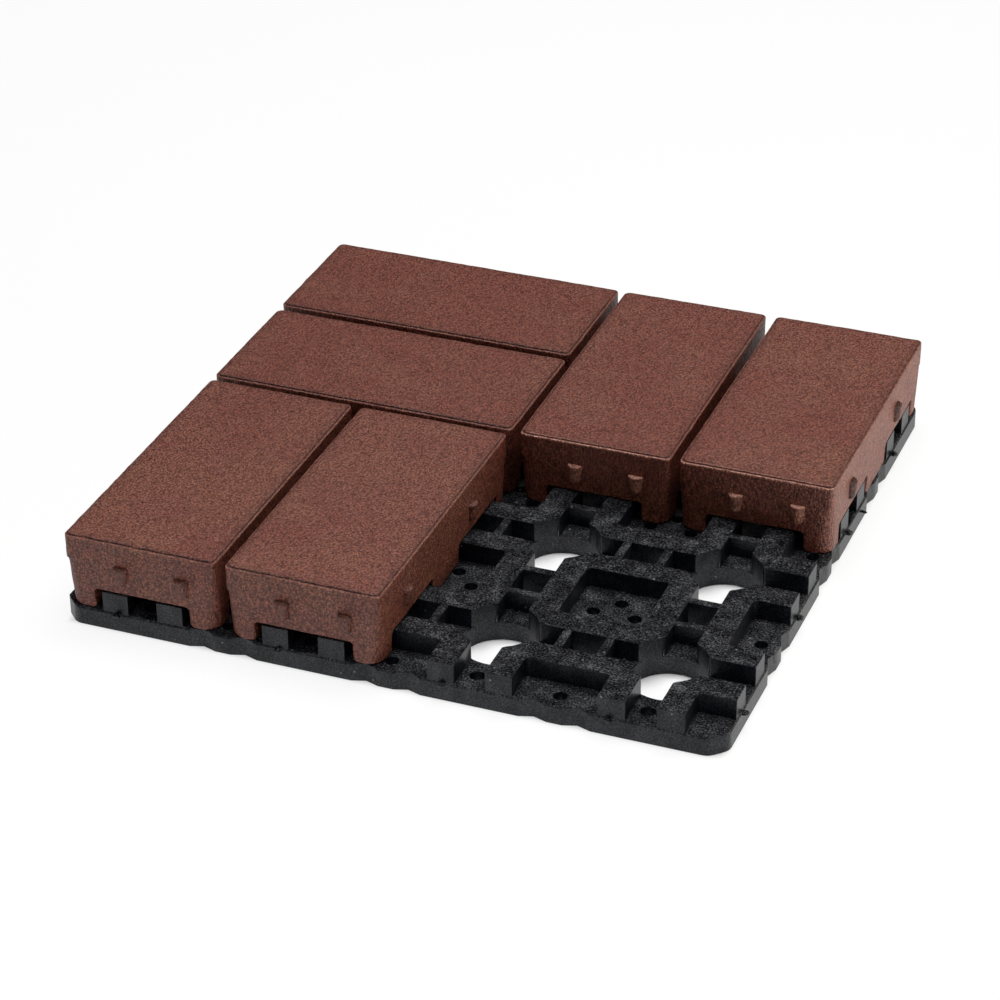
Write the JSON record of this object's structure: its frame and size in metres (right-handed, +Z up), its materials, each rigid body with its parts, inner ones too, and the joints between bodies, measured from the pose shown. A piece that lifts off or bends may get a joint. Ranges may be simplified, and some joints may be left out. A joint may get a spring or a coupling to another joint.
{
  "type": "grid paver unit",
  "caption": "Square plastic grid tray with raised rings and drain holes, and rectangular composite pavers laid on it in a basket weave, one quarter left bare.",
  "frame": {"origin": "middle of the grid, on the tray's underside", "axes": "+X right along the tray's front edge, +Y back, +Z up; the bare quarter is at +X -Y"},
  "size_m": [0.4099, 0.4097, 0.0595],
  "materials": {
    "tray_plastic": "charcoal recycled plastic, fine moulded grain",
    "paver_composite": "red-brown rubber and plastic composite, fine granular moulded texture"
  },
  "bodies": {
    "root": {"grid_tray": "tray_plastic", "paver_front_left": "paver_composite", "paver_front_middle": "paver_composite", "paver_left_near": "paver_composite", "paver_left_far": "paver_composite", "paver_rear_middle": "paver_composite", "paver_rear_right": "paver_composite"}
  },
  "joints": []
}
